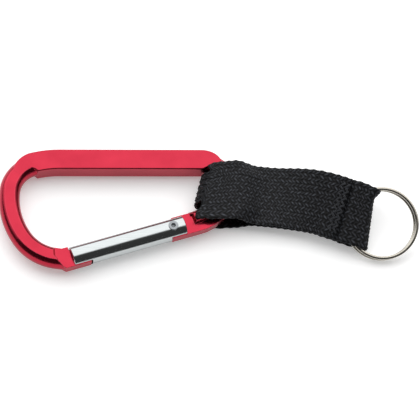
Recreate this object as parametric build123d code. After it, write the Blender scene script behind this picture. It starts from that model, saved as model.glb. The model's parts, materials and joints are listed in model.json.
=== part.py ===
from build123d import *
import os
from math import cos, radians, sin, sqrt

# Carabiner keyring: a pressed aluminium snap hook, a webbing strap sewn round its small end,
# and a double-coil split ring in the strap's other end. Millimetres.
# The drawing frame has Z = 0 at the middle of the hook's thickness and Y = 0 along its spine;
# export_all moves everything so that the origin is the middle of the whole object, on the
# surface that it lies on.

# --- hook: driving dimensions -------------------------------------------------------------
BAR_R = 3.5  # round bar before pressing
FLAT_Z = 3.1  # half the thickness between the pressed faces
SPINE_W = 7.3  # the spine is pressed wider than the bar
SPINE_Z = 3.15  # half its thickness
SPINE_EDGE_R = 0.45
RUNOUT_DROP = 0.03  # how much the spine's flats sink as they run out into the bends
SPINE_X = (-49.9, -2.5)  # ends of the straight spine
NOSE_BENDS = ((34.0, 14), (11.5, 68), (26.0, 40), (15.5, 50))  # radius and turn, to the nose
NOSE_RUN = 3.5
SMALL_BENDS = ((9.8, 149), (40.0, 14))  # round the small end, to the hinge
FLAT_W = 2 * sqrt(BAR_R**2 - FLAT_Z**2)  # width of the flats in the bends
CORNER_PRESS = ((0.0, SPINE_W, 0.0), (0.12, 5.8, -0.75), (0.3, 4.6, -0.9), (0.55, FLAT_W, 0.0))
SMALL_PRESS = ((0.0, SPINE_W, 0.0), (0.07, 6.9, 0.2), (0.17, 4.6, 0.9), (0.28, FLAT_W, 0.0))
TONGUE_Z = 1.6  # half the thickness of the two pressed tongues
TONGUE_V = 3.6  # half their width
NOSE_RELIEF = ((-52.5, -30), (-52.4, -34.8), (-49.2, -39.6), (-49.0, -42), (-43, -42), (-43, -30))
HINGE_RELIEF = ((-10, -20), (-6.4, -20.6), (-5.4, -23.6), (-2.1, -22.2), (3.2, -19.4), (8, -30), (-10, -30))
HINGE_LIP = ((-5.5, -22.0), (-4.2, -25.95), (-1.0, -24.9), (1.5, -23.5), (4.2, -21.3), (1.0, -19.5))
RELIEF_SLOPE = 25  # lean of the shoulders round both tongues, degrees

# --- gate: U runs from the rivet to the nose, V towards the inside of the hook -------------
HINGE = (-12.9, -24.8)
GATE_ANGLE = 16.7  # slope of the closed gate, degrees
SLEEVE_R = 3.7
BORE_R = 2.9
SLEEVE_U = (-4.2, 35.5)
SLOT_Z = 1.7
HINGE_SLOT_U = (1.3, 3.6)  # slot ends past the rivet, outer and inner side
TONGUE_ROOT_U = -8.0  # where the hinge tongue joins the bar
NOSE_ROOT_U = 41.0  # where the nose tongue joins the bar
NOSE_ROOT_CUT = (2.5, -1.0)  # corner left off its outer side: along U, and where it ends in V
NOSE_SHOULDER_GAP = 0.3  # between the tube's end and the shoulder it closes against
NOSE_TIP_GAP = 0.5  # between the tongue's tip and the slot's end
NOSE_TIP_CUT = (0.9, 1.0)  # bevel on the tip's inner corner, along U and V
NOSE_SLOT_U = 29.2
RIVET_R = 0.8
RIVET_HEAD_R = 1.6
RIVET_HEAD_H = 0.85
RIVET_TOP = 3.95
DIMPLE_R = 0.75
RIVET_PLAY = 0.04
CAM_U = 1.6
CAM_V = 1.5
CAM_HEEL = (-0.6, 2.2)  # U and V of the notch behind the cam, clear of the plunger
PLUNGER_R = 2.75
PLUNGER_STEM_R = 1.0
PLUNGER_U = (1.75, 4.0, 6.5)  # face, back of the head, end of the stem
STOP_U = (13.5, 14.5)  # crimped ring that carries the spring
STOP_R = 1.4
WIRE_R = 0.3
COIL_R = 2.1
COIL_TURNS = 6

# --- strap: S runs along the strap from its fold in the hook -------------------------------
WEB_T = 1.4  # webbing thickness
WEB_W = 21.8
FOLD_W = 11.4  # width where it is bunched inside the hook
BUNCH_PLAN = ((-1, 5.7), (0.6, 6.4), (3.6, 8.6), (6.3, 10.2))  # S and half width, to the full width
BUNCH_END_S = 9.0
BUNCH_SIDE = (-1.1, 4.1)  # S range where the fold's sides are drawn in between the bars
STRAP_START = (-4.5, -10.1)
STRAP_HEADING = (-6.0, -18.0)  # at the hook, and at the ring
BEND_S = 25.0  # living hinge beside the hook; the strap is straight up to here
TWIST_S = 35.0
END_BEND_S = 44.0  # living hinge where the third layer starts; straight from here on
LOOP_GAP = 3.25  # half the room inside the fold round the bar
LOOP_FLAT_S = 16.8
LOOP_SHUT_S = 22.4
ROLL = 18.5  # twist of the strap between hook and ring, degrees
RISE = 2.95  # how much the strap's middle rises over the same length
END_PITCH = 3.0
CLEAR = 0.1
RUN_STEPS = 4  # straight-sided lengths that each twisted run is made of

# --- sewn end: distances from the second living hinge ---------------------------------------
THIRD_START = 1.8  # hidden cut end of the layer under the top one
LAYER_END = 6.4  # cut end of the top layer
FOLD_END = 16.6
FOLD_DROP = 0.7  # the ring's fold lies this much under the middle
RING_GAP = 1.6  # half the room in the ring's loop
ROOM_S = (6.3, 7.8)  # where that room starts, and where it is fully open
STITCH_AT = (3.6, 5.3)
STITCH_W = 0.6
STITCH_T = 0.3
STITCH_HOLES = 8
STITCH_SPAN = 16.8

# --- split ring ------------------------------------------------------------------------------
RING_R = 12.35  # outside
RING_BAND = 1.25
WIRE_T = 1.4  # each of the two turns
RING_AT = 20.5  # its centre, from the second living hinge
JOG = 24.0  # half the angle that the step between the turns takes, degrees
JOG_STEPS = 6
TURN_GAP = 0.03

GATE_AXIS = (-cos(radians(GATE_ANGLE)), -sin(radians(GATE_ANGLE)), 0)
GATE_PLANE = Plane(origin=(*HINGE, 0), x_dir=GATE_AXIS, z_dir=(0, 0, -1))
WEB_PAIR = WEB_T + 0.05  # half the thickness of two layers


def arcs_from(start, heading, bends, side):
    """Tangent arcs one after another; side is 1 for left turns and -1 for right turns."""
    edges = []
    for radius, turn in bends:
        edges.append(JernArc(start=start, tangent=heading, radius=radius, arc_size=side * turn))
        start, heading = edges[-1] @ 1, edges[-1] % 1
    return edges


def section_plane(edge, t):
    """Plane square to a flat path, with X across the path and Y up."""
    along = edge % t
    return Plane(origin=edge @ t, x_dir=(-along.Y, along.X, 0), z_dir=along)


def pressed_section(plane, width, drop=0.0):
    """Outline of the pressed bar: a rectangle with slightly rounded edges."""
    return plane * RectangleRounded(width, 2 * (SPINE_Z - drop), SPINE_EDGE_R)


def pressed_run(path, sections):
    """Flat that changes width along a bend and sinks; a section is a share, a width and a shift."""
    outlines = []
    for share, width, shift in sections:
        drop = RUNOUT_DROP * share / sections[-1][0]
        outlines.append(pressed_section(section_plane(path, share) * Pos(shift, 0, 0), width, drop))
    return loft(outlines)


def spine_block(spine, nose_side, small_end):
    """The spine is pressed to a wide flat that runs out into the round bends."""
    flat = pressed_section(section_plane(spine, 0), SPINE_W)
    middle = sweep(flat, path=Wire([spine, nose_side[0]]))
    return middle + [pressed_run(nose_side[1], CORNER_PRESS), pressed_run(small_end, SMALL_PRESS)]


def plate(plane, outline, half):
    """Flat plate of an outline, the same thickness on both sides of the middle plane."""
    return extrude(plane * make_face(Polyline(*outline, close=True)), half, both=True)


def tongues():
    """Both tongues: the gate's slots take them, and the hinge tongue's end is the cam."""
    hinge_outline = [
        (TONGUE_ROOT_U, -TONGUE_V),
        (HINGE_SLOT_U[0] - CLEAR, -TONGUE_V),
        (HINGE_SLOT_U[0] - CLEAR, -CAM_V),
        (CAM_U, -CAM_V),
        (CAM_U, CAM_V),
        (0.0, CAM_HEEL[1]),
        CAM_HEEL,
        (CAM_HEEL[0], TONGUE_V),
        (TONGUE_ROOT_U, TONGUE_V),
    ]
    inner_v = sqrt(BORE_R**2 - TONGUE_Z**2) - CLEAR
    shoulder_u = SLEEVE_U[1] + NOSE_SHOULDER_GAP
    tip_u = NOSE_SLOT_U + NOSE_TIP_GAP
    nose_outline = [
        (tip_u, -TONGUE_V),
        (tip_u, inner_v - NOSE_TIP_CUT[1]),
        (tip_u + NOSE_TIP_CUT[0], inner_v),
        (shoulder_u, inner_v),
        (shoulder_u, TONGUE_V),
        (NOSE_ROOT_U, TONGUE_V),
        (NOSE_ROOT_U, NOSE_ROOT_CUT[1]),
        (NOSE_ROOT_U - NOSE_ROOT_CUT[0], -TONGUE_V),
    ]
    return [plate(GATE_PLANE, outline, TONGUE_Z) for outline in (hinge_outline, nose_outline)]


def relief(outline):
    """What the press takes off above and below a tongue, up to a sloping shoulder."""
    cuts = []
    for side in (1, -1):
        face_plane = Plane(origin=(0, 0, side * TONGUE_Z), z_dir=(0, 0, side))
        points = [face_plane.to_local_coords(Vector(x, y, 0)) for x, y in outline]
        face = make_face(Polyline(*[(point.X, point.Y) for point in points], close=True))
        cuts.append(extrude(face_plane * face, BAR_R, taper=-RELIEF_SLOPE))
    return cuts


def carabiner_body():
    """The hook: a bent bar pressed flat on two sides, with a tongue at each end."""
    spine = Line((SPINE_X[1], 0), (SPINE_X[0], 0))
    nose_side = arcs_from(spine @ 1, spine % 1, NOSE_BENDS, 1)
    tip = nose_side[-1]
    nose_side.append(Line(tip @ 1, (tip @ 1) + (tip % 1) * NOSE_RUN))
    small_side = arcs_from(spine @ 0, (1, 0), SMALL_BENDS, -1)
    slab = Box(200, 200, 2 * FLAT_Z)
    first = sweep(section_plane(spine, 0) * Circle(BAR_R), path=Wire([spine] + nose_side))
    second = sweep(section_plane(small_side[0], 0) * Circle(BAR_R), path=Wire(small_side))
    bar = (first + second) & slab
    hook = bar + spine_block(spine, nose_side, small_side[0])
    hook -= relief(NOSE_RELIEF) + relief(HINGE_RELIEF)
    hook += tongues() + [plate(Plane.XY, HINGE_LIP, TONGUE_Z)]
    return hook - GATE_PLANE * Cylinder(RIVET_R + RIVET_PLAY, 4 * BAR_R)


def along_gate(shape, u):
    """Put a shape that is round about Z on the gate's axis, its middle at U."""
    axis_plane = Plane(origin=GATE_PLANE.from_local_coords((u, 0, 0)), z_dir=GATE_AXIS)
    return axis_plane * shape


def gate_box(u, v, half_z):
    """Box between two U and two V values, for the slots."""
    centre = ((u[0] + u[1]) / 2, (v[0] + v[1]) / 2, 0)
    return GATE_PLANE * Pos(*centre) * Box(u[1] - u[0], v[1] - v[0], 2 * half_z)


def hinge_rivet():
    """Rivet across the gate: it is peened onto the sleeve and turns in the tongue."""
    rivet = Cylinder(RIVET_R, 2 * RIVET_TOP)
    for side in (1, -1):
        rivet += Pos(0, 0, side * (RIVET_TOP - RIVET_HEAD_H / 2)) * Cylinder(RIVET_HEAD_R, RIVET_HEAD_H)
        rivet -= Pos(0, 0, side * RIVET_TOP) * Sphere(DIMPLE_R)
    return GATE_PLANE * rivet


def gate_sleeve():
    """The gate: a polished tube, slotted for both tongues, with a crimped ring for the spring."""
    length = SLEEVE_U[1] - SLEEVE_U[0]
    tube = Cylinder(SLEEVE_R, length)
    tube = chamfer(tube.edges().filter_by(GeomType.CIRCLE), 0.2) - Cylinder(BORE_R, length)
    tube = along_gate(tube, sum(SLEEVE_U) / 2)
    ring = Cylinder(BORE_R + 0.1, STOP_U[1] - STOP_U[0]) - Cylinder(STOP_R, 2)
    tube += along_gate(ring, sum(STOP_U) / 2)
    outer, inner = (-5, 0), (0, 5)
    tube -= gate_box((SLEEVE_U[0] - 1, HINGE_SLOT_U[0]), outer, SLOT_Z)
    tube -= gate_box((SLEEVE_U[0] - 1, HINGE_SLOT_U[1]), inner, SLOT_Z)
    tube -= gate_box((NOSE_SLOT_U, SLEEVE_U[1] + 1), outer, SLOT_Z)
    return tube - hinge_rivet() - GATE_PLANE * Cylinder(RIVET_R, 12)


def gate_plunger():
    """Brass plunger that the spring holds against the cam."""
    face, back, end = PLUNGER_U
    head = along_gate(Cylinder(PLUNGER_R, back - face), (face + back) / 2)
    stem = along_gate(Cylinder(PLUNGER_STEM_R, end - back), (back + end) / 2)
    return head + stem


def gate_spring():
    """Compression spring between the plunger and the crimped ring, with flat end turns."""
    low, high = PLUNGER_U[1] + WIRE_R, STOP_U[0] - WIRE_R
    pitch = (high - low) / COIL_TURNS
    path = Helix(pitch=pitch, height=high - low, radius=COIL_R)
    start = path @ 0
    coil = sweep(Plane(origin=start, z_dir=path % 0) * Circle(WIRE_R), path=path)
    axis_plane = Plane(origin=GATE_PLANE.from_local_coords((low, 0, 0)), z_dir=GATE_AXIS)
    return axis_plane * coil


def strap_point(s):
    """Middle of the strap at S: its place, heading and roll, in millimetres and degrees."""
    first, last = STRAP_HEADING
    straight = min(s, BEND_S)
    x = STRAP_START[0] + straight * cos(radians(first))
    y = STRAP_START[1] + straight * sin(radians(first))
    share = max((s - BEND_S) / (END_BEND_S - BEND_S), 0)
    turned = (last - first) * share
    if share > 0:
        chord = 2 * sin(radians(turned) / 2) * (s - BEND_S) / radians(turned)
        x += chord * cos(radians(first + turned / 2))
        y += chord * sin(radians(first + turned / 2))
    ease = share * share * (3 - 2 * share)
    return (x, y, RISE * ease), first + turned, ROLL * ease


def strap_plane(s, pitch=0.0):
    """Plane with X along the strap, Y across it and Z out of its face."""
    place, heading, roll = strap_point(s)
    return Plane(Location(place) * Rot(0, 0, heading) * Rot(0, pitch, 0) * Rot(roll, 0, 0))


def strap_section(s):
    """Cross-section of the double strap at S, for the lofts."""
    plane = strap_plane(s)
    across_plane = Plane(origin=plane.origin, x_dir=plane.y_dir, z_dir=plane.x_dir)
    return across_plane * Rectangle(WEB_W, 2 * WEB_PAIR)


def strap_run(start, end):
    """Double strap between two places, with the twist in it."""
    steps = [start + (end - start) * step / RUN_STEPS for step in range(RUN_STEPS + 1)]
    return loft([strap_section(s) for s in steps], ruled=True)


def round_edge(plane):
    """Round edge of a living hinge, across the strap."""
    return plane * Rot(90, 0, 0) * Cylinder(WEB_PAIR, WEB_W)


def side_profile(plane, outline, width):
    """Solid of an outline drawn in the strap's S and Z, of a width across the strap."""
    side = Plane(origin=plane.origin, x_dir=plane.x_dir, z_dir=-plane.y_dir)
    return extrude(side * make_face(outline), width / 2, both=True)


def fold_outline(centre_s, radius, flat_s, shut_s, shut_z):
    """Outline of a folded strap: a round fold, two flat runs, and two runs that close up."""
    turn = 180 if flat_s > centre_s else -180
    return [
        CenterArc((centre_s, 0), radius, 90, turn),
        Line((centre_s, -radius), (flat_s, -radius)),
        Line((flat_s, -radius), (shut_s, -shut_z)),
        Line((shut_s, -shut_z), (shut_s, shut_z)),
        Line((shut_s, shut_z), (flat_s, radius)),
        Line((flat_s, radius), (centre_s, radius)),
    ]


def webbing_bar_loop():
    """The strap's fold round the small end of the hook, bunched where it passes inside."""
    plane = strap_plane(0)
    outer_r = LOOP_GAP + WEB_T
    end_s = BEND_S - WEB_PAIR - CLEAR
    outer = fold_outline(outer_r, outer_r, LOOP_FLAT_S, end_s, WEB_PAIR)
    room = fold_outline(outer_r, LOOP_GAP, LOOP_FLAT_S - 0.4, LOOP_SHUT_S, 0.05)
    loop = side_profile(plane, outer, WEB_W) - side_profile(plane, room, 2 * WEB_W)
    plan = [*BUNCH_PLAN, (BUNCH_END_S, WEB_W / 2), (BEND_S, WEB_W / 2)]
    plan += [(s, -y) for s, y in reversed(plan)]
    loop &= plate(plane, plan, 2 * outer_r)
    low, high = BUNCH_SIDE
    for side in (1, -1):
        middle = Pos((low + high) / 2, side * (FOLD_W + WEB_W) / 2, 0)
        loop -= plane * middle * Box(high - low, WEB_W, 2 * (LOOP_GAP + CLEAR / 2))
    return loop


def webbing_panel_near():
    """Double strap between the living hinge by the hook and the twist."""
    return strap_run(BEND_S, TWIST_S - CLEAR) + round_edge(strap_plane(BEND_S))


def webbing_panel_far():
    """Double strap between the twist and the sewn end."""
    return strap_run(TWIST_S + CLEAR, END_BEND_S - WEB_PAIR - 4 * CLEAR)


def sewn_end_plane():
    """The sewn end is straight: X from the second living hinge to the ring."""
    return strap_plane(END_BEND_S, END_PITCH)


def ring_plane():
    """Middle of the ring, with its axis as Z; it lies in the middle of the strap's fold."""
    plane = sewn_end_plane().offset(-FOLD_DROP)
    return Plane(origin=plane.from_local_coords((RING_AT, 0, 0)), x_dir=plane.x_dir, z_dir=plane.z_dir)


def stitch_row(s):
    """One row of lock stitches: a thread on each face, joined through every hole."""
    top, low = FOLD_DROP + WEB_PAIR, -FOLD_DROP - WEB_PAIR
    height = top - low
    row = Pos(s, 0, top) * Box(STITCH_W, STITCH_SPAN, STITCH_T)
    row += Pos(s, 0, low) * Box(STITCH_W, STITCH_SPAN, STITCH_T)
    for hole in range(STITCH_HOLES):
        y = (hole / (STITCH_HOLES - 1) - 0.5) * (STITCH_SPAN - STITCH_W)
        row += Pos(s, y, (top + low) / 2) * Box(STITCH_W, STITCH_W, height)
    return sewn_end_plane() * row


def webbing_sewn_end():
    """Three sewn layers, then the fold that holds the ring."""
    plane = sewn_end_plane()
    outer_r = RING_GAP + WEB_T
    middle = FOLD_END - outer_r
    thick = 2 * (WEB_PAIR + FOLD_DROP)
    start = plane * Pos(1, 0, 0) * Box(2, WEB_W, 2 * WEB_PAIR) + round_edge(plane)
    centre_s = (THIRD_START + LAYER_END) / 2
    layers = plane * Pos(centre_s, 0, 0) * Box(LAYER_END - THIRD_START, WEB_W, thick)
    fold_plane = plane.offset(-FOLD_DROP)
    outer = fold_outline(middle, outer_r, ROOM_S[1] + 0.5, LAYER_END - 0.5, WEB_PAIR)
    room = fold_outline(middle, RING_GAP, ROOM_S[1], ROOM_S[0], 0.05)
    end = start + layers + side_profile(fold_plane, outer, WEB_W)
    end -= side_profile(fold_plane, room, 2 * WEB_W)
    for s in STITCH_AT:
        end -= stitch_row(s)
    passage = Circle(RING_R + CLEAR) - Circle(RING_R - RING_BAND - CLEAR)
    return end - ring_plane() * extrude(passage, WIRE_T + CLEAR, both=True)


def ring_turn(z):
    """One flat turn of the ring, open where the step between the turns goes."""
    reach = 3 * RING_R
    start, end = 180 - JOG, 180 + JOG
    corners = [(reach * cos(radians(angle)), reach * sin(radians(angle))) for angle in (start, end)]
    flat = Circle(RING_R) - Circle(RING_R - RING_BAND)
    turn = extrude(flat, WIRE_T - TURN_GAP)
    gap = extrude(make_face(Polyline((0, 0), *corners, close=True)), WIRE_T)
    return Pos(0, 0, z) * (turn - gap)


def split_ring():
    """Two turns of flat wire, with a step from the lower turn to the upper one."""
    low, high = -WIRE_T, TURN_GAP
    centre_r = RING_R - RING_BAND / 2
    sections = []
    for step in range(JOG_STEPS + 1):
        share = step / JOG_STEPS
        ease = share * share * (3 - 2 * share)
        angle = radians(180 - JOG + 2 * JOG * share)
        z = low + (high - low) * ease + (WIRE_T - TURN_GAP) / 2
        place = (centre_r * cos(angle), centre_r * sin(angle), z)
        out, along = (cos(angle), sin(angle), 0), (-sin(angle), cos(angle), 0)
        plane = Plane(origin=place, x_dir=out, z_dir=along)
        sections.append(plane * Rectangle(RING_BAND, WIRE_T - TURN_GAP))
    return ring_plane() * (ring_turn(low) + ring_turn(high) + loft(sections))


def object_parts():
    """Every sub-part in the drawing frame, by the name of its node."""
    return {
        "carabiner_body": carabiner_body(),
        "gate_sleeve": gate_sleeve(),
        "hinge_rivet": hinge_rivet(),
        "gate_plunger": gate_plunger(),
        "gate_spring": gate_spring(),
        "webbing_bar_loop": webbing_bar_loop(),
        "webbing_panel_near": webbing_panel_near(),
        "webbing_panel_far": webbing_panel_far(),
        "webbing_sewn_end": webbing_sewn_end(),
        "stitch_row_inner": stitch_row(STITCH_AT[0]),
        "stitch_row_outer": stitch_row(STITCH_AT[1]),
        "split_ring": split_ring(),
    }


def row_origin(parts):
    """Middle of the whole object on the surface that it lies on, in the drawing frame."""
    boxes = [shape.bounding_box() for shape in parts.values()]
    low = [min(tuple(box.min)[axis] for box in boxes) for axis in range(3)]
    high = [max(tuple(box.max)[axis] for box in boxes) for axis in range(3)]
    return Vector((low[0] + high[0]) / 2, (low[1] + high[1]) / 2, low[2])


def export_all():
    """Write one STEP for each sub-part, in the row's frame."""
    os.makedirs("parts", exist_ok=True)
    parts = object_parts()
    shift = Location(-row_origin(parts))
    for name, shape in parts.items():
        export_step(shift * shape, f"parts/{name}.step")


export_all()
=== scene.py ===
"""Carabiner keyring: webbing, stitching, key ring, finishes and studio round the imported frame.

Sizes are in millimetres in the classes, and turn to metres where a mesh is stored.
"""

from __future__ import annotations

import json
import logging
from dataclasses import dataclass, field
from enum import Enum

import bpy
import numpy as np
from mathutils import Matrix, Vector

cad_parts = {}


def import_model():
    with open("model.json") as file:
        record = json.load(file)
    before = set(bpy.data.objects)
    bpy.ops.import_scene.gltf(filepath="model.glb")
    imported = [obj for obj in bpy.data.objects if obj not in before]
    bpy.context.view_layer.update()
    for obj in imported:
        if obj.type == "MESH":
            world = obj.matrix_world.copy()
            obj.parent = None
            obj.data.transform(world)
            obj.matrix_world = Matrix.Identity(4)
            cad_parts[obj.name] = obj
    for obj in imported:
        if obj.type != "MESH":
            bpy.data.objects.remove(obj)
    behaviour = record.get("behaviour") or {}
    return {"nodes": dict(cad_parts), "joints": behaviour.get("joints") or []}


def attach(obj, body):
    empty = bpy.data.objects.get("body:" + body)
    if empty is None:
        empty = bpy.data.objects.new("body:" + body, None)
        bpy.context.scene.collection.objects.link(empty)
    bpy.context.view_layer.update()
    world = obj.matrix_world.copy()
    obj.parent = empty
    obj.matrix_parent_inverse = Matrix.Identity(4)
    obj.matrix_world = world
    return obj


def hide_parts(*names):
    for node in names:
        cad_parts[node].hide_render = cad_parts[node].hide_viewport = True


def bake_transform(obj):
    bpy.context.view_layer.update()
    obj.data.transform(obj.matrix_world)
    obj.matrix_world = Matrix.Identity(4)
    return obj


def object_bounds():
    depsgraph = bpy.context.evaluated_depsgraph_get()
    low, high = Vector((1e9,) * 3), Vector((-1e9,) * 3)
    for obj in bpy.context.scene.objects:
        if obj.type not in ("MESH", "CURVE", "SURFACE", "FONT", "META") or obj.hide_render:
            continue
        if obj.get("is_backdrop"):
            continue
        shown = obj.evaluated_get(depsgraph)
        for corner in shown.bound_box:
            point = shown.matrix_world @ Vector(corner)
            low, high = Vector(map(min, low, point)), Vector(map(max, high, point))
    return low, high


MM = 0.001
LOG = logging.getLogger("keyring")


class Slot(Enum):
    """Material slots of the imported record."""

    RED_ANODISED = "red_anodised"
    BRIGHT_ALUMINIUM = "bright_aluminium"
    RIVET_METAL = "rivet_metal"
    PLUNGER_BRASS = "plunger_brass"
    SPRING_STEEL = "spring_steel"
    BLACK_WEBBING = "black_webbing"
    BLACK_THREAD = "black_thread"
    NICKEL_PLATE = "nickel_plate"


# --- small tools -------------------------------------------------------------------------------


def linear(code: str) -> tuple[float, float, float, float]:
    """Turn an sRGB hex colour to linear light.

    Args:
        code: six hex digits after a hash sign.

    Returns:
        Red, green, blue and an alpha of one.
    """
    srgb = np.array([int(code[place : place + 2], 16) for place in (1, 3, 5)]) / 255
    light = np.where(srgb <= 0.04045, srgb / 12.92, ((srgb + 0.055) / 1.055) ** 2.4)
    return (*light.tolist(), 1.0)


def add(tree: bpy.types.NodeTree, kind: str, sockets: dict | None = None, **settings: object) -> bpy.types.Node:
    """Add a node with its settings, socket values and links.

    Args:
        tree: the node tree that gets the node.
        kind: the node's type.
        sockets: input name or number, to a value or to the output socket that feeds it.
        **settings: the node's own properties.

    Returns:
        The new node.
    """
    node = tree.nodes.new(kind)
    for name, value in settings.items():
        setattr(node, name, value)
    for name, value in (sockets or {}).items():
        if isinstance(value, bpy.types.NodeSocket):
            tree.links.new(value, node.inputs[name])
        else:
            node.inputs[name].default_value = value
    return node


def ease(values: np.ndarray, start: float, end: float) -> np.ndarray:
    """Smooth step from 0 at start to 1 at end: share squared times three less twice the share."""
    share = np.clip((np.asarray(values, float) - start) / (end - start), 0, 1)
    return share * share * (3 - 2 * share)


def unit(vectors: np.ndarray) -> np.ndarray:
    """Vectors along the last axis, each divided by its own length."""
    return vectors / np.linalg.norm(vectors, axis=-1, keepdims=True)


def store_mesh(
    name: str,
    points: np.ndarray,
    faces: list[list[int]],
    material: bpy.types.Material,
    attributes: dict[str, np.ndarray] | None = None,
    sharp_deg: float = 65.0,
) -> bpy.types.Object:
    """Store a closed shape as an object at the origin, with its faces pointing outwards.

    The signed volume is the sum over the faces' fans of the triple product of their corners; when
    it is negative the faces run the wrong way round and all of them are turned over.

    Args:
        name: the piece's name.
        points: vertex places in millimetres, one row each.
        faces: vertex numbers of each face.
        material: the piece's finish.
        attributes: vertex attributes by name, one number or three to a vertex.
        sharp_deg: edges with a larger angle than this stay sharp.

    Returns:
        The new object.
    """
    corners = np.array([[face[0], face[1], face[2]] for face in faces])
    first, second, third = (points[corners[:, place]] for place in range(3))
    if np.einsum("ij,ij->", first, np.cross(second, third)) < 0:
        faces = [face[::-1] for face in faces]
    mesh = bpy.data.meshes.new(name)
    mesh.from_pydata((points * MM).tolist(), [], faces)
    for key, values in (attributes or {}).items():
        wide = values.ndim == 2
        layer = mesh.attributes.new(key, "FLOAT_VECTOR" if wide else "FLOAT", "POINT")
        layer.data.foreach_set("vector" if wide else "value", values.astype(np.float32).ravel())
    mesh.materials.append(material)
    mesh.update()
    mesh.shade_smooth()
    mesh.set_sharp_from_angle(angle=np.radians(sharp_deg))
    piece = bpy.data.objects.new(name, mesh)
    bpy.context.scene.collection.objects.link(piece)
    return piece


def loop_faces(rows: int, ring: int, start: int = 0) -> list[list[int]]:
    """Quads of a tube of closed rings, ring after ring.

    Args:
        rows: how many rings there are.
        ring: how many vertices a ring has.
        start: the number of the first vertex.

    Returns:
        Vertex numbers of each quad.
    """
    row, place = np.meshgrid(np.arange(rows - 1), np.arange(ring), indexing="ij")
    after = (place + 1) % ring
    quads = np.stack([row * ring + place, row * ring + after, (row + 1) * ring + after, (row + 1) * ring + place], -1)
    return (quads.reshape(-1, 4) + start).tolist()


def wire(
    path: np.ndarray, side: np.ndarray, radii: tuple[float, float], squareness: float, corners: int
) -> tuple[np.ndarray, list[list[int]]]:
    """Carry a closed profile along a path, with a flat cap at both ends.

    The profile is a superellipse: the cosine and sine of an angle, each raised to two over the
    squareness and keeping its sign, times the two radii.

    Args:
        path: places along the wire.
        side: direction of the profile's first radius at each place.
        radii: the profile's half sizes along side, and square to side and path.
        squareness: 2 for an ellipse, more for a rounded rectangle.
        corners: vertices round the profile.

    Returns:
        Points and faces.
    """
    along = unit(np.gradient(path, axis=0))
    side = unit(side - np.sum(side * along, -1, keepdims=True) * along)
    other = np.cross(along, side)
    turn = np.linspace(0, 2 * np.pi, corners, endpoint=False)
    first = np.sign(np.cos(turn)) * np.abs(np.cos(turn)) ** (2 / squareness) * radii[0]
    second = np.sign(np.sin(turn)) * np.abs(np.sin(turn)) ** (2 / squareness) * radii[1]
    points = path[:, None] + side[:, None] * first[None, :, None] + other[:, None] * second[None, :, None]
    last = (len(path) - 1) * corners
    faces = loop_faces(len(path), corners)
    faces += [list(range(corners))[::-1], list(range(last, last + corners))]
    return points.reshape(-1, 3), faces


# --- finishes ----------------------------------------------------------------------------------


@dataclass(frozen=True)
class AnodisedAluminium:
    """Pressed and tumbled aluminium, dyed red and sealed: tinted mirror-like reflections."""

    dye: str = "#B63243"
    dye_deep: str = "#9F2737"
    # lighter dye for the edges: partly wear, partly a painted edge highlight
    edge_wear_and_highlight_dye: str = "#CD6071"
    patch_mm: float = 7.0
    peel_mm: float = 0.6
    edge_mm: float = 0.3
    rub_mm: float = 2.5

    def material(self) -> bpy.types.Material:
        """Dye in soft patches, lighter on the edges as wear and as a painted edge highlight, over a faint peel left
        by the tumbling.

        Returns:
            The finish as a material.
        """
        finish = bpy.data.materials.new("red_anodised_aluminium")
        finish.use_nodes = True
        tree = finish.node_tree
        shader = tree.nodes["Principled BSDF"]
        place = add(tree, "ShaderNodeTexCoord").outputs["Object"]
        patches = add(tree, "ShaderNodeTexNoise", {"Vector": place, "Scale": 1 / (self.patch_mm * MM), "Detail": 3.0})
        dye = add(
            tree,
            "ShaderNodeMix",
            {"Factor": patches.outputs["Fac"], 6: linear(self.dye), 7: linear(self.dye_deep)},
            data_type="RGBA",
        )
        # The rounded normal leaves the true one only within the edge radius, which marks the edges.
        rounded = add(tree, "ShaderNodeBevel", {"Radius": self.edge_mm * MM}, samples=6)
        face = add(tree, "ShaderNodeNewGeometry").outputs["Normal"]
        match = add(tree, "ShaderNodeVectorMath", {0: rounded.outputs["Normal"], 1: face}, operation="DOT_PRODUCT")
        edge = add(
            tree, "ShaderNodeMapRange", {"Value": match.outputs["Value"], "From Min": 0.995, "From Max": 0.93}
        )
        rub = add(tree, "ShaderNodeTexNoise", {"Vector": place, "Scale": 1 / (self.rub_mm * MM), "Detail": 4.0})
        wear_and_highlight_mask = add(tree, "ShaderNodeMath", {0: edge.outputs["Result"], 1: rub.outputs["Fac"]}, operation="MULTIPLY")
        # Edges get the lighter dye where the rub noise lets it through: partly wear, partly a painted edge highlight.
        colour = add(
            tree,
            "ShaderNodeMix",
            {"Factor": wear_and_highlight_mask.outputs["Value"], 6: dye.outputs[2], 7: linear(self.edge_wear_and_highlight_dye)},
            data_type="RGBA",
        )
        peel = add(tree, "ShaderNodeTexNoise", {"Vector": place, "Scale": 1 / (self.peel_mm * MM), "Detail": 2.0})
        gloss = add(
            tree, "ShaderNodeMapRange", {"Value": patches.outputs["Fac"], "To Min": 0.17, "To Max": 0.27}
        )
        relief = add(
            tree,
            "ShaderNodeBump",
            {
                "Height": peel.outputs["Fac"],
                "Strength": 0.25,
                "Distance": 0.012 * MM,
                "Normal": rounded.outputs["Normal"],
            },
        )
        tree.links.new(colour.outputs[2], shader.inputs["Base Color"])
        tree.links.new(gloss.outputs["Result"], shader.inputs["Roughness"])
        tree.links.new(relief.outputs["Normal"], shader.inputs["Normal"])
        shader.inputs["Metallic"].default_value = 1.0
        return finish


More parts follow.
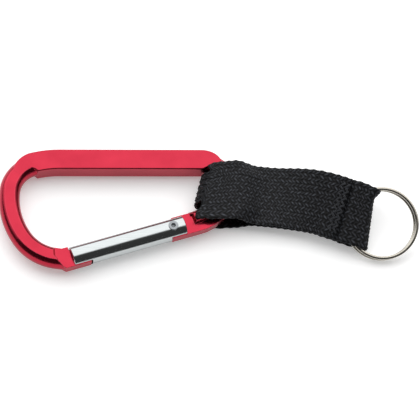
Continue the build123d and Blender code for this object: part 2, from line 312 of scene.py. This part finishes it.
@dataclass(frozen=True)
class BareMetal:
    """A bare or plated metal with fine lines left by drawing, turning or polishing.

    Lines run along the X axis of a frame that is turned about Z, because the wire, the tube and
    the pin were all finished lengthwise or round their own axis.
    """

    name: str
    light: str
    dark: str
    roughness: tuple[float, float]
    line_mm: float
    stretch: float = 30.0
    turn_deg: float = 0.0
    lines_um: float = 4.0
    edge_mm: float = 0.12
    haze_mm: float = 3.0

    def material(self) -> bpy.types.Material:
        """Tone and gloss that change from line to line, over lines a few micrometres deep.

        Returns:
            The finish as a material.
        """
        finish = bpy.data.materials.new(self.name)
        finish.use_nodes = True
        tree = finish.node_tree
        shader = tree.nodes["Principled BSDF"]
        place = add(tree, "ShaderNodeTexCoord").outputs["Object"]
        turned = add(
            tree,
            "ShaderNodeMapping",
            {"Vector": place, "Rotation": (0, 0, np.radians(self.turn_deg)), "Scale": (1 / self.stretch, 1, 1)},
        )
        lines = add(
            tree,
            "ShaderNodeTexNoise",
            {"Vector": turned.outputs["Vector"], "Scale": 1 / (self.line_mm * MM), "Detail": 5.0},
        )
        haze = add(tree, "ShaderNodeTexNoise", {"Vector": place, "Scale": 1 / (self.haze_mm * MM), "Detail": 3.0})
        tone = add(
            tree,
            "ShaderNodeMix",
            {"Factor": lines.outputs["Fac"], 6: linear(self.light), 7: linear(self.dark)},
            data_type="RGBA",
        )
        gloss = add(
            tree,
            "ShaderNodeMapRange",
            {"Value": haze.outputs["Fac"], "To Min": self.roughness[0], "To Max": self.roughness[1]},
        )
        rounded = add(tree, "ShaderNodeBevel", {"Radius": self.edge_mm * MM}, samples=6)
        relief = add(
            tree,
            "ShaderNodeBump",
            {
                "Height": lines.outputs["Fac"],
                "Strength": 0.4,
                "Distance": self.lines_um * MM * MM,
                "Normal": rounded.outputs["Normal"],
            },
        )
        tree.links.new(tone.outputs[2], shader.inputs["Base Color"])
        tree.links.new(gloss.outputs["Result"], shader.inputs["Roughness"])
        tree.links.new(relief.outputs["Normal"], shader.inputs["Normal"])
        shader.inputs["Metallic"].default_value = 1.0
        return finish


@dataclass(frozen=True)
class WovenPolypropylene:
    """Black spun polypropylene webbing: matt, a little blue, with a soft sheen, painted lighter on its crests and
    painted dark as shade in its valleys.
    """

    name: str = "black_polypropylene_webbing"
    # crest is a painted highlight colour and valley a painted shade colour, chosen by the weave's height
    crest: str = "#484B52"
    valley: str = "#020203"
    yarn_mm: float = 1.25
    filament_mm: float = 0.16  # real filaments are ten times finer and would not show
    sheen: float = 0.04
    shine: float = 0.22  # fibres shade each other, so less light comes straight back

    def material(self) -> bpy.types.Material:
        """Yarns painted light on their crests and painted dark between them as shade, each a slightly different
        black.

        The cloth attribute holds the place along and across the strip, so yarn streaks follow it
        round the folds; the relief attribute is 1 on a crest and 0 in a valley.

        Returns:
            The finish as a material.
        """
        finish = bpy.data.materials.new(self.name)
        finish.use_nodes = True
        tree = finish.node_tree
        shader = tree.nodes["Principled BSDF"]
        cloth = add(tree, "ShaderNodeAttribute", attribute_name="cloth").outputs["Vector"]
        height = add(tree, "ShaderNodeAttribute", attribute_name="relief").outputs["Fac"]
        yarns = add(tree, "ShaderNodeTexNoise", {"Vector": cloth, "Scale": 1 / self.yarn_mm, "Detail": 2.0})
        streaks = add(
            tree,
            "ShaderNodeMapping",
            {"Vector": cloth, "Rotation": (0, 0, 0.5), "Scale": (0.3, 1.0, 1.0)},
        )
        filaments = add(
            tree,
            "ShaderNodeTexNoise",
            {"Vector": streaks.outputs["Vector"], "Scale": 1 / self.filament_mm, "Detail": 3.0},
        )
        # The weave height paints shade into the valleys and light onto the crests; the yarn noise gives each yarn its
        # own black.
        lift = add(tree, "ShaderNodeMath", {0: height, 1: yarns.outputs["Fac"]}, operation="MULTIPLY")
        tone = add(tree, "ShaderNodeMapRange", {"Value": lift.outputs["Value"], "From Min": 0.22, "From Max": 0.62})
        weave_colour_with_painted_shade = add(
            tree,
            "ShaderNodeMix",
            {"Factor": tone.outputs["Result"], 6: linear(self.valley), 7: linear(self.crest)},
            data_type="RGBA",
        )
        fibre = add(
            tree,
            "ShaderNodeMapRange",
            {"Value": filaments.outputs["Fac"], "To Min": 0.5, "To Max": 1.35},
        )
        shade = add(
            tree, "ShaderNodeVectorMath", {0: weave_colour_with_painted_shade.outputs[2], "Scale": fibre.outputs["Result"]}, operation="SCALE"
        )
        gloss = add(tree, "ShaderNodeMapRange", {"Value": filaments.outputs["Fac"], "To Min": 0.5, "To Max": 0.75})
        relief = add(
            tree,
            "ShaderNodeBump",
            {"Height": filaments.outputs["Fac"], "Strength": 0.6, "Distance": 0.08 * MM},
        )
        tree.links.new(shade.outputs["Vector"], shader.inputs["Base Color"])
        tree.links.new(gloss.outputs["Result"], shader.inputs["Roughness"])
        tree.links.new(relief.outputs["Normal"], shader.inputs["Normal"])
        shader.inputs["IOR"].default_value = 1.49
        shader.inputs["Specular IOR Level"].default_value = self.shine
        shader.inputs["Sheen Weight"].default_value = self.sheen
        shader.inputs["Sheen Roughness"].default_value = 0.4
        return finish


# --- strap -------------------------------------------------------------------------------------


@dataclass
class StrapLine:
    """Middle line of the strap: S runs along it from its fold in the hook to the key ring."""

    bend: dict
    bend_s: float = 25.0
    end_s: float = 44.0
    headings_deg: tuple[float, float] = (-6.0, -18.0)
    rise: float = 2.95
    roll_deg: float = 18.5
    pitch_deg: float = 3.0

    def middle(self, s: np.ndarray) -> np.ndarray:
        """Places on the line.

        It is straight up to the bend, then an arc of even turn whose chord is the arc times the
        sine of half the turn over half the turn, rising by an ease, and straight after its end.

        Args:
            s: distances along the line.

        Returns:
            Places, with a last axis of three.
        """
        first, last = np.radians(self.headings_deg)
        share = np.clip((s - self.bend_s) / (self.end_s - self.bend_s), 0, 1)
        turned = (last - first) * share
        run = np.clip(s, None, self.end_s) - self.bend_s
        chord = np.where(run > 0, run * np.sinc(turned / (2 * np.pi)), run)
        heading = first + turned / 2
        flat = np.stack([chord * np.cos(heading), chord * np.sin(heading), self.rise * ease(share, 0, 1)], -1)
        pitch = np.radians(self.pitch_deg)
        tail = np.array([np.cos(last) * np.cos(pitch), np.sin(last) * np.cos(pitch), -np.sin(pitch)])
        beyond = np.clip(s - self.end_s, 0, None)
        return np.array(self.bend["pos_m"]) / MM + flat + beyond[..., None] * tail

    def frames(self, s: np.ndarray) -> tuple[np.ndarray, np.ndarray, np.ndarray, np.ndarray]:
        """Places on the line with the strap's directions there.

        Along is the line's own slope, across is the level normal of the heading turned up by the
        roll, and out is square to both.

        Args:
            s: distances along the line.

        Returns:
            Places and the along, across and out directions.
        """
        share = np.clip((s - self.bend_s) / (self.end_s - self.bend_s), 0, 1)
        heading = np.radians(self.headings_deg[0] + (self.headings_deg[1] - self.headings_deg[0]) * share)
        roll = np.radians(self.roll_deg) * ease(share, 0, 1)
        along = unit(self.middle(s + 0.4) - self.middle(s - 0.4))
        across = np.stack([-np.sin(heading) * np.cos(roll), np.cos(heading) * np.cos(roll), np.sin(roll)], -1)
        across = unit(across - np.sum(across * along, -1, keepdims=True) * along)
        return self.middle(s), along, across, np.cross(along, across)

    def point(self, s: float) -> tuple[float, float, float]:
        """One place on the line in metres."""
        return tuple(float(value) * MM for value in self.middle(np.array([s]))[0])


@dataclass
class Strap:
    """The webbing strip, from its cut end on top, round the hook, and round the key ring.

    Its path lies in S and Z, Z being the height over the middle line. One strip makes three
    pieces, cut where the strap stays straight.
    """

    line: StrapLine
    cloth: bpy.types.Material
    thickness: float = 1.4
    half_width: float = 10.9
    edge_r: float = 0.6
    grid: float = 0.23
    layer_z: float = 0.75
    hook_fold: tuple[float, float] = (4.65, 3.95)  # centre and radius
    hook_shut: tuple[float, float] = (15.0, 23.8)
    third_rise: tuple[float, float] = (43.3, 45.8)
    third_z: float = 0.7
    top_end: float = 50.4
    third_end: float = 45.8
    ring_fold: tuple[float, float] = (57.6, 2.3)
    ring_open: tuple[float, float] = (50.3, 52.6)
    cuts: tuple[float, float] = (30.0, 39.5)
    warp_pitch: float = 1.3
    weft_pitch: float = 1.2
    relief: float = 0.4
    slant: float = 0.95
    scatter: float = 0.3
    gap_height: float = 0.35  # between two columns
    weft_height: float = 0.75
    grain_power: float = 0.7
    bunch_plan: tuple = ((-1.0, 0.6, 3.6, 6.3, 9.0, 12.0), (5.7, 8.2, 10.3, 10.8, 10.9, 10.9))
    bunched: float = 5.7
    pleats: float = 2.5
    pleat_z: float = 0.9
    edge_wave: float = 0.12
    skew: float = -0.16
    tip: tuple[float, float, float] = (6.0, 10.6, 2.2)  # where it starts and ends, and its reach
    droop_from: tuple[float, float] = (6.0, 11.0)  # places across where a side starts to close sooner
    droop_by: tuple[float, float] = (2.0, 3.0)
    cut_taper: tuple[float, float, float] = (1.3, 0.6, 0.45)  # length, lost thickness, sink
    bar_z: float = 3.2  # just above the bar's face
    pinch: float = 0.5
    pinch_run: tuple[float, float] = (54.0, 59.0)
    drawn_run: tuple[float, float] = (52.0, 57.6)
    shift_run: tuple[float, float] = (9.0, 15.0)
    fold_run: tuple[float, float] = (4.0, 13.0)
    corner_run: tuple[float, float] = (5.0, 13.0)
    near_corner: tuple[float, float] = (5.0, 11.0)
    far_corner: tuple[float, float] = (5.0, 8.0)
    near_shift: tuple = ((0.6, 3.6, 6.3, 9.0, 15.0), (-2.6, -2.2, -1.4, -0.9, 0.0))
    corner_pull: tuple[float, float] = (2.6, 2.6)  # of the near and the far corner
    fold_lean: tuple[float, float] = (1.0, 0.17)  # shift of the fold, and its slope across the strip
    bends: tuple = field(default=((21.0, 29.0), (31.0, 38.5), (40.5, 45.8)))

    def path(self) -> np.ndarray:
        """The strip's whole path, evenly spaced.

        Two arcs join three runs whose heights are sums of eases: apart by the hook, a third layer
        between them at the sewn end, and apart again round the ring.

        Returns:
            Rows of S, Z and the length along the strip.
        """
        hook_s, hook_r = self.hook_fold
        ring_s, ring_r = self.ring_fold
        top_s = np.arange(self.top_end, hook_s, -0.1)
        low_s = np.arange(hook_s, ring_s, 0.1)
        back_s = np.arange(ring_s, self.third_end, -0.1)
        half_turn = np.radians(np.linspace(0, 180, 120))
        ring_rise = ring_r - self.layer_z
        runs = [
            (top_s, self.spread(top_s)),
            (hook_s - hook_r * np.sin(half_turn), hook_r * np.cos(half_turn)),
            (low_s, -self.spread(low_s) - ring_rise * ease(low_s, *self.ring_open)),
            (ring_s + ring_r * np.sin(half_turn), -self.third_z - ring_r * np.cos(half_turn)),
            (back_s, (ring_r - self.third_z) * ease(back_s, *self.ring_open)),
        ]
        line = np.concatenate([np.stack(run, -1) for run in runs])
        length = np.concatenate([[0], np.cumsum(np.linalg.norm(np.diff(line, axis=0), axis=1))])
        even = np.linspace(0, length[-1], int(length[-1] / self.grid) + 1)
        return np.stack([np.interp(even, length, line[:, 0]), np.interp(even, length, line[:, 1]), even], -1)

    def spread(self, s: np.ndarray) -> np.ndarray:
        """Height of the top layer: open round the hook, shut, then lifted by the third layer."""
        open_z = (self.hook_fold[1] - self.layer_z) * (1 - ease(s, *self.hook_shut))
        return self.layer_z + open_z + self.third_z * ease(s, *self.third_rise)

    def droop(self, s: np.ndarray, y: np.ndarray) -> np.ndarray:
        """How far a side of the open layers has closed ahead of their middle.

        The open height, times the share that a fold shutting earlier by the sides has lost.

        Args:
            s: places along the strap.
            y: places across it.

        Returns:
            Heights to take from the layer's own.
        """
        side = ease(np.abs(y), *self.droop_from)
        start, end = self.hook_shut
        sooner = ease(s, start - self.droop_by[0] * side, end - self.droop_by[1] * side)
        return (self.hook_fold[1] - self.layer_z) * (sooner - ease(s, start, end))

    def half_at(self, s: np.ndarray, z: np.ndarray) -> np.ndarray:
        """Half of the strip's width, bunched in the hook and squeezed most inside the fold."""
        plan = np.interp(s, *self.bunch_plan)
        return np.where(s < self.hook_shut[0], self.bunched + (plan - self.bunched) * self.over_bar(z), plan)

    def over_bar(self, z: np.ndarray) -> np.ndarray:
        """Share of the way from the bar's face, 0, to the top of the fold, 1."""
        return ease(np.abs(z), self.bar_z, self.hook_fold[1])

    def weave(self, u: np.ndarray, v: np.ndarray) -> np.ndarray:
        """Height of a plain weave, 0 in a valley and 1 on a crest.

        Each warp yarn is a rounded column across the strip. Along it a cosine, out of step from
        column to column by a scatter of its own, makes grains that slant to the left and to the
        right by turns; every second grain is lower, where the weft lies on top.

        Args:
            u: places along the strip.
            v: places across it.

        Returns:
            Heights from 0 to 1.
        """
        column = np.floor(v / self.warp_pitch)
        inside = v / self.warp_pitch - column - 0.5
        lean = np.where(column % 2 > 0, 1, -1) * self.slant * inside
        scatter = self.scatter * np.sin(column * 12.9898)
        beat = np.cos(np.pi * (u / self.weft_pitch + column + lean + scatter))
        across = self.gap_height + (1 - self.gap_height) * np.sqrt(np.clip(np.cos(np.pi * inside), 0, 1))
        return across * np.abs(beat) ** self.grain_power * np.where(beat > 0, 1.0, self.weft_height)

    def section(self) -> tuple[np.ndarray, np.ndarray]:
        """Sample the strip's width, closer together round its edges.

        Returns:
            Shares of the half width, and of the half thickness there.
        """
        flat = self.half_width - self.edge_r
        count = int(2 * flat / self.grid) + 1
        corner = np.radians([22.0, 45.0, 68.0, 90.0])
        rim = flat + self.edge_r * np.sin(corner)
        across = np.concatenate([-rim[::-1], np.linspace(-flat, flat, count), rim])
        thick = np.concatenate([np.cos(corner)[::-1], np.ones(count), np.cos(corner)])
        return across / self.half_width, np.clip(thick, 0, 1)

    def strip(self, rows: np.ndarray) -> tuple[np.ndarray, list, np.ndarray, np.ndarray]:
        """Both faces of a length of the strip, closed round its edges and ends.

        Each point is the middle line's place, plus the height and the place across it, plus the
        half thickness less the weave's valleys along the path's own normal. Over the hook's bar
        the strip lies nearer the gate and its corners are pulled back along the bar. By the ring
        the fold runs askew, and its upper corner is drawn out to a tip over the wire.

        Args:
            rows: S, Z and length of the path's places.

        Returns:
            Points, faces, cloth places and weave heights.
        """
        share, thick = self.section()
        s, z, u = (rows[:, place, None] for place in range(3))
        slope = unit(np.gradient(rows[:, :2], axis=0))
        v = share[None] * self.half_width
        half = self.half_at(s, z) + self.edge_wave * (np.cos(np.pi * u / self.weft_pitch) - 1) * np.abs(share) ** 8
        y = share[None] * half - self.pinch * ease(s, *self.pinch_run) * ease(share[None], 0.5, 1.0)
        y = y + np.interp(s, *self.near_shift) * self.over_bar(z) * (1 - ease(s, *self.shift_run))
        corners = [ease(-y, *self.near_corner), ease(y, *self.far_corner)]
        pulled = sum(pull * corner for pull, corner in zip(self.corner_pull, corners))
        pulled = pulled * self.over_bar(z) * (1 - ease(s, *self.shift_run)) * (1 - ease(s, *self.corner_run))
        gather = np.clip(1 - half / self.half_width, 0, 1)
        lift = self.pleat_z * gather * (0.5 - 0.5 * np.cos(2 * np.pi * self.pleats * share[None]))
        drawn = self.skew * y + self.tip[2] * ease(y, self.tip[0], self.tip[1])
        leaned = (self.fold_lean[0] + self.fold_lean[1] * y) * (1 - ease(s, *self.fold_run))
        moved = s + drawn * ease(s, *self.drawn_run) - pulled + leaned
        cut = 1 - ease(u, 0.0, self.cut_taper[0])
        height_z = z - np.sign(z) * self.droop(s, y) - self.cut_taper[2] * cut
        middle, along, across, out = self.line.frames(moved + 0 * v)
        outward = -slope[:, 1, None, None] * along + slope[:, 0, None, None] * out
        outside = -1.0  # the path runs with its outer face on the right
        centre = middle + out * height_z[..., None] + across * (y + 0 * moved)[..., None]
        centre = centre + outside * outward * lift[..., None]
        faces_out = []
        heights = []
        for side in (1, -1):
            height = self.weave(u + (side > 0) * self.weft_pitch, v + 0 * u)
            depth = thick[None] * (self.thickness / 2 - self.relief * (1 - height)) * (1 - self.cut_taper[1] * cut)
            faces_out.append(centre + side * outward * depth[..., None])
            heights.append(height)
        rings = np.concatenate([faces_out[0], faces_out[1][:, -2:0:-1]], axis=1)
        height = np.concatenate([heights[0], heights[1][:, -2:0:-1]], axis=1)
        cloth = np.stack([u + 0 * v, v + 0 * u, 0 * u * v], -1)
        cloth = np.concatenate([cloth, cloth[:, -2:0:-1]], axis=1)
        return rings.reshape(-1, 3), self.strip_faces(len(rows), len(share)), cloth.reshape(-1, 3), height.ravel()

    def strip_faces(self, rows: int, samples: int) -> list[list[int]]:
        """Faces of a flat tube whose caps join each top vertex to the one under it.

        Args:
            rows: how many rings there are.
            samples: vertices across one face.

        Returns:
            Vertex numbers of each face.
        """
        ring = 2 * samples - 2
        faces = loop_faces(rows, ring)
        top = np.arange(samples)
        low = (ring - top) % ring
        cap = np.stack([top[1:-2], low[1:-2], low[2:-1], top[2:-1]], -1)
        tips = [[0, int(low[1]), 1], [int(top[-2]), int(low[-2]), int(top[-1])]]
        last = (rows - 1) * ring
        faces += cap.tolist() + tips
        faces += (cap[:, ::-1] + last).tolist() + [[place + last for place in tip[::-1]] for tip in tips]
        return faces

    def piece(self, name: str, lengths: list[np.ndarray], bodies: tuple[str, str], bend: int) -> bpy.types.Object:
        """One piece of one or two lengths of the strip.

        Args:
            name: the piece's name.
            lengths: the path's places in each length.
            bodies: the bodies before and after the bend; not used.
            bend: which of the bends it crosses.

        Returns:
            The piece.
        """
        points, faces, cloth, height = [], [], [], []
        for rows in lengths:
            count = sum(len(part) for part in points)
            part = self.strip(rows)
            points.append(part[0])
            faces += [[place + count for place in face] for face in part[1]]
            cloth.append(part[2])
            height.append(part[3])
        piece = store_mesh(
            name,
            np.concatenate(points),
            faces,
            self.cloth,
            {"cloth": np.concatenate(cloth), "relief": np.concatenate(height)},
        )
        start, end = self.bends[bend]
        self.line.point(start)
        self.line.point(end)
        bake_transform(piece)
        return piece

    def build(self) -> list[bpy.types.Object]:
        """Cut the strip into its three pieces and let them stand for the webbing's solids.

        Returns:
            The three pieces.
        """
        path = self.path()
        s = path[:, 0]
        hook = int(np.argmin(s))
        near, far = self.cuts
        top_far = int(np.argmax(s[:hook] < far))
        top_near = int(np.argmax(s[:hook] < near))
        low_near = hook + int(np.argmax(s[hook:] > near))
        low_far = hook + int(np.argmax(s[hook:] > far))
        loop = self.piece("webbing_hook_fold", [path[top_near : low_near + 1]], ("strap_loop", "strap_near"), 0)
        twist = self.piece(
            "webbing_twisted_run",
            [path[top_far : top_near + 1], path[low_near : low_far + 1]],
            ("strap_near", "strap_far"),
            1,
        )
        end = self.piece(
            "webbing_ring_fold", [path[: top_far + 1], path[low_far:]], ("strap_far", "strap_end"), 2
        )
        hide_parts("webbing_bar_loop")
        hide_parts("webbing_panel_near", "webbing_panel_far")
        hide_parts("webbing_sewn_end")
        return [loop, twist, end]


@dataclass
class Stitching:
    """Two rows of zigzag lock stitches through the three layers of the sewn end."""

    line: StrapLine
    thread: bpy.types.Material
    rows: tuple[float, float] = (3.6, 5.3)
    surface_z: float = 2.15
    span: float = 16.8
    stitches: int = 14
    swing: float = 0.6
    radius: float = 0.3

    def row(self, at: float, face: int) -> tuple[np.ndarray, list]:
        """One thread on one face.

        Across the strap it goes from side to side as a triangle wave, and its height is an arch
        over each stitch that ends in the needle holes.

        Args:
            at: the row's distance from the strap's second bend.
            face: 1 for the upper face and -1 for the lower.

        Returns:
            Points and faces.
        """
        count = np.linspace(0, self.stitches, self.stitches * 10 + 1)
        swing = 2 * np.abs(count / 2 - np.floor(count / 2) - 0.5) * 2 - 1
        arch = np.abs(np.sin(np.pi * count)) ** 0.5
        s = self.line.end_s + at + self.swing * swing
        y = (count / self.stitches - 0.5) * self.span
        z = face * (self.surface_z - 0.25 + 0.32 * arch)
        middle, along, across, out = self.line.frames(s)
        path = middle + across * y[:, None] + out * z[:, None]
        return wire(path, out, (self.radius * 0.8, self.radius), 2.0, 10)

    def build(self) -> list[bpy.types.Object]:
        """Sew both rows; they move with the sewn end.

        Returns:
            One piece for each row.
        """
        pieces = []
        for node, at in zip(("stitch_row_inner", "stitch_row_outer"), self.rows):
            top_points, top_faces = self.row(at, 1)
            low_points, low_faces = self.row(at, -1)
            low_faces = [[place + len(top_points) for place in face[::-1]] for face in low_faces]
            cloth = np.concatenate([top_points, low_points]) * 3
            piece = store_mesh(
                node.replace("stitch_row", "zigzag_stitches"),
                np.concatenate([top_points, low_points]),
                top_faces + [face[::-1] for face in low_faces],
                self.thread,
                {"cloth": cloth, "relief": np.full(len(cloth), 1.0)},
            )
            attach(piece, "strap_end")
            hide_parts(node)
            pieces.append(piece)
        return pieces


# --- key ring ----------------------------------------------------------------------------------


@dataclass
class SplitRing:
    """Two turns of flattened spring wire with a step from the lower turn to the upper one."""

    spin: dict
    plate: bpy.types.Material
    outer_r: float = 12.35
    band: float = 1.25
    wire_t: float = 1.4
    gap: float = 0.03
    step_deg: float = 24.0
    squareness: float = 3.2
    start_along: tuple[float, float, float] = (1.0, 0.0, 0.0)
    slip: tuple[float, float] = (-0.45, -0.1)  # of the lower turn under the upper one
    seat: tuple[float, float] = (-0.2, -0.3)  # of the whole ring in the fold

    def build(self) -> bpy.types.Object:
        """Wind the wire.

        The angle runs once round on the lower level, eases up within the step, and runs round
        again on the upper level; the ring's own plane comes from its joint.

        Returns:
            The ring.
        """
        axis = unit(np.array(self.spin["axis"]))
        first = unit(np.array(self.start_along) - np.dot(self.start_along, axis) * axis)
        second = np.cross(axis, first)
        centre = np.array(self.spin["pos_m"]) / MM
        angle = np.arange(180 + self.step_deg, 180 + 720 - self.step_deg + 1, 2.0)
        rise = ease(angle, 540 - self.step_deg, 540 + self.step_deg)
        height = (rise - 0.5) * (self.wire_t + self.gap)
        radius = self.outer_r - self.band / 2
        turn = np.radians(angle)[:, None]
        spoke = np.cos(turn) * first + np.sin(turn) * second
        centre = centre + self.seat[0] * first + self.seat[1] * second
        slip = (1 - rise)[:, None] * (self.slip[0] * first + self.slip[1] * second)
        path = centre + spoke * radius + height[:, None] * axis + slip
        points, faces = wire(path, spoke, (self.band / 2, (self.wire_t - self.gap) / 2), self.squareness, 24)
        ring = store_mesh("split_ring_wire", points, faces, self.plate, sharp_deg=50)
        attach(ring, "ring")
        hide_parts("split_ring")
        return ring


# --- hook and gate -----------------------------------------------------------------------------


@dataclass
class SnapHook:
    """The pressed hook and its tube gate, whose solids keep their shape and get their finish."""

    nodes: dict[str, bpy.types.Object]
    gate_turn_deg: float = -16.7

    def finishes(self) -> dict[str, bpy.types.Material]:
        """Each part's real material, by its node.

        Returns:
            Materials by node name.
        """
        sleeve = BareMetal(
            "drawn_polished_aluminium",
            "#BEC1C2",
            "#A6ACAC",
            (0.10, 0.2),
            0.25,
            stretch=25,
            turn_deg=self.gate_turn_deg,
            edge_mm=0.15,
        )
        rivet = BareMetal("cold_formed_aluminium", "#9EA1A4", "#6C7073", (0.3, 0.45), 0.3, stretch=1, lines_um=10)
        brass = BareMetal("turned_brass", "#D9B568", "#A88442", (0.2, 0.35), 0.2, stretch=1, lines_um=6)
        return {
            "carabiner_body": AnodisedAluminium().material(),
            "gate_sleeve": sleeve.material(),
            "hinge_rivet": rivet.material(),
            "gate_plunger": brass.material(),
        }

    def build(self) -> list[bpy.types.Object]:
        """Give every metal solid its finish.

        Returns:
            The dressed solids.
        """
        dressed = []
        for name, finish in self.finishes().items():
            piece = self.nodes[name]
            piece.data.materials.clear()
            piece.data.materials.append(finish)
            dressed.append(piece)
        return dressed


@dataclass
class GateSpring:
    """Compression spring in the tube; U runs along the tube from the rivet to the nose."""

    hinge: dict
    slide: dict
    steel: bpy.types.Material
    ends_u: tuple[float, float] = (4.3, 13.2)  # at the plunger, and at the crimped ring
    coil_r: float = 2.1
    wire_r: float = 0.3
    turns: int = 6

    def build(self) -> bpy.types.Object:
        """Coil the wire from the plunger to the crimped ring.

        Returns:
            The spring.
        """
        axis = unit(np.array(self.slide["axis"]))
        rivet = np.array(self.hinge["pos_m"]) / MM
        first = np.array([0.0, 0.0, 1.0])
        second = np.cross(axis, first)
        angle = np.linspace(0, 2 * np.pi * self.turns, self.turns * 24 + 1)[:, None]
        spoke = np.cos(angle) * first + np.sin(angle) * second
        near, far = (rivet + end * axis for end in self.ends_u)
        path = near + (far - near) * angle / angle[-1] + self.coil_r * spoke
        points, faces = wire(path, spoke, (self.wire_r, self.wire_r), 2.0, 10)
        spring = store_mesh("gate_spring_coil", points, faces, self.steel)
        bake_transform(spring)
        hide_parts("gate_spring")
        return spring


# --- studio ------------------------------------------------------------------------------------


@dataclass
class Studio:
    """White paper floor under one broad soft light, and a long lens looking down."""

    box: tuple
    tilt_deg: tuple[float, float] = (8.0, 25.0)  # the lens leans to the left and to the front
    distance: float = 900.0
    target: tuple[float, float, float] = (0.0, 0.4, 4.7)
    view_width: float = 140.9
    sensor: float = 36.0
    floor_size: float = 6000.0
    fibre_mm: float = 2.5  # real paper fibres are finer and would not show
    sky: float = 1.9
    room: float = 0.06
    glow: float = 0.3  # the sheet lies on a light table

    def camera(self) -> bpy.types.Object:
        """Aim the lens so that the object fills the frame's width.

        Returns:
            The camera.
        """
        left, front = np.tan(np.radians(self.tilt_deg))
        back = unit(np.array([-left, -front, 1.0]))
        upright = np.array([0, np.cos(np.radians(self.tilt_deg[1])), np.sin(np.radians(self.tilt_deg[1]))])
        right = unit(np.cross(upright, back))
        up = np.cross(back, right)
        lens = bpy.data.cameras.new("studio_lens")
        lens.sensor_width = self.sensor
        lens.lens = self.sensor * self.distance / self.view_width
        lens.clip_end = 100.0
        camera = bpy.data.objects.new("studio_lens", lens)
        matrix = np.eye(4)
        matrix[:3, 0], matrix[:3, 1], matrix[:3, 2] = right, up, back
        matrix[:3, 3] = (np.array(self.target) + back * self.distance) * MM
        camera.matrix_world = matrix.T.tolist()
        bpy.context.scene.collection.objects.link(camera)
        bpy.context.scene.camera = camera
        return camera

    def floor(self) -> bpy.types.Object:
        """Sheet of white background paper under the object.

        Returns:
            The floor.
        """
        paper = bpy.data.materials.new("white_background_paper")
        paper.use_nodes = True
        tree = paper.node_tree
        shader = tree.nodes["Principled BSDF"]
        place = add(tree, "ShaderNodeTexCoord").outputs["Object"]
        fibres = add(tree, "ShaderNodeTexNoise", {"Vector": place, "Scale": 1 / (self.fibre_mm * MM), "Detail": 4.0})
        tone = add(
            tree,
            "ShaderNodeMix",
            {"Factor": fibres.outputs["Fac"], 6: linear("#FBFBFB"), 7: linear("#F8F8F8")},
            data_type="RGBA",
        )
        tree.links.new(tone.outputs[2], shader.inputs["Base Color"])
        shader.inputs["Roughness"].default_value = 0.9
        shader.inputs["Emission Color"].default_value = linear("#FFFFFF")
        shader.inputs["Emission Strength"].default_value = self.glow
        half = self.floor_size / 2
        corners = np.array([[-half, -half, 0], [half, -half, 0], [half, half, 0], [-half, half, 0]])
        corners[:, 2] = self.box[0][2] / MM
        mesh = bpy.data.meshes.new("paper_floor")
        mesh.from_pydata((corners * MM).tolist(), [], [[0, 1, 2, 3]])
        mesh.materials.append(paper)
        sheet = bpy.data.objects.new("paper_floor", mesh)
        bpy.context.scene.collection.objects.link(sheet)
        sheet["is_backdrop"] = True
        return sheet

    def light(self) -> None:
        """Dim room with one broad bright screen overhead and behind the object.

        The screen is the product of three eases of the sky's direction: it starts just in front
        of straight up, reaches back to the horizon, and fades towards both sides.
        """
        world = bpy.data.worlds.new("studio_room")
        world.use_nodes = True
        tree = world.node_tree
        way = add(tree, "ShaderNodeSeparateXYZ", {0: add(tree, "ShaderNodeTexCoord").outputs["Generated"]})
        wide = add(tree, "ShaderNodeMath", {0: way.outputs["X"]}, operation="ABSOLUTE")
        limits = [(way.outputs["Y"], -0.2, 0.02), (way.outputs["Z"], 0.02, 0.2), (wide.outputs[0], 0.97, 0.75)]
        screen = None
        for value, low, high in limits:
            step = add(
                tree,
                "ShaderNodeMapRange",
                {"Value": value, "From Min": low, "From Max": high},
                interpolation_type="SMOOTHSTEP",
            )
            screen = step.outputs["Result"] if screen is None else add(
                tree, "ShaderNodeMath", {0: screen, 1: step.outputs["Result"]}, operation="MULTIPLY"
            ).outputs[0]
        power = add(tree, "ShaderNodeMapRange", {"Value": screen, "To Min": self.room, "To Max": self.sky})
        background = tree.nodes["Background"]
        tree.links.new(power.outputs["Result"], background.inputs["Strength"])
        background.inputs["Color"].default_value = linear("#FFFFFF")
        bpy.context.scene.world = world

    def build(self) -> None:
        """Set the camera, the floor, the light and a plain response to light."""
        self.camera()
        self.floor()
        self.light()
        bpy.context.scene.view_settings.view_transform = "Standard"
        bpy.context.scene.view_settings.look = "None"


def main() -> None:
    """Load the frame, build each sub-assembly in order, and keep the two boxes' sizes."""
    logging.basicConfig(level=logging.INFO, format="%(name)s: %(message)s")
    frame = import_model()
    cad_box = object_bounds()
    joints = {joint["name"]: joint for joint in frame["joints"]}
    line = StrapLine(joints["strap_bend"])
    webbing = WovenPolypropylene().material()
    thread = WovenPolypropylene("black_bonded_thread", "#36383D", "#0C0D0F", 0.25, 0.05, 0.35).material()
    nickel = BareMetal("nickel_plated_steel", "#CBC7BE", "#A09A8E", (0.12, 0.24), 0.4, stretch=1)
    steel = BareMetal("drawn_spring_steel", "#9A9CA0", "#6F7276", (0.25, 0.4), 0.15, stretch=1)
    pieces = SnapHook(frame["nodes"]).build()
    pieces.append(GateSpring(joints["gate_hinge"], joints["plunger_slide"], steel.material()).build())
    pieces += Strap(line, webbing).build()
    pieces += Stitching(line, thread).build()
    pieces.append(SplitRing(joints["ring_spin"], nickel.material()).build())
    for piece in pieces:
        LOG.info("%s: %d faces", piece.name, len(piece.data.polygons))
    boxes = {"cad": cad_box, "visual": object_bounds()}
    Studio(boxes["visual"]).build()


if __name__ == "__main__":
    main()
